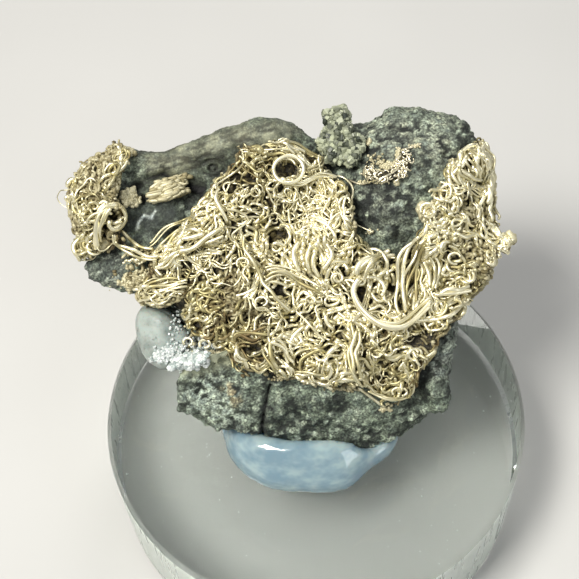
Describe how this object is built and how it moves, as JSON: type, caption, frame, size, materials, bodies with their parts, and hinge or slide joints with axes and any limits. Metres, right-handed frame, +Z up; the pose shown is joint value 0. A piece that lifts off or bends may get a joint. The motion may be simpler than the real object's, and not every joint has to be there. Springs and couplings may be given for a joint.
{
  "type": "native silver mineral specimen",
  "caption": "Curly native wire silver matted over dark matrix rock, fixed by milky clear glue to a round clear acrylic display base that stands on its flat underside.",
  "frame": {"origin": "centre of the acrylic base's flat underside", "axes": "+Z up through the base, -Y towards the silver face that the viewer sees, +X to the viewer's right"},
  "size_m": [0.0524, 0.0508, 0.0424],
  "materials": {
    "clear_acrylic": "polished clear acrylic with a rougher sawn edge",
    "milky_glue": "milky translucent hot glue, glossy",
    "dark_matrix": "rough dark grey-green granular rock",
    "native_silver": "pale gold toned bright silver wire with brown tarnish",
    "grey_crystal": "grey-green blocky crystals",
    "grey_calcite": "smooth pale grey",
    "white_crystal": "bright white sparkling crystal crust"
  },
  "bodies": {
    "root": {"acrylic_base": "clear_acrylic", "glue_blob": "milky_glue", "matrix_rock": "dark_matrix", "wire_silver": "native_silver", "dome_silver": "native_silver", "crystal_knob": "grey_crystal", "calcite_lump": "grey_calcite", "white_druse": "white_crystal"}
  },
  "joints": []
}
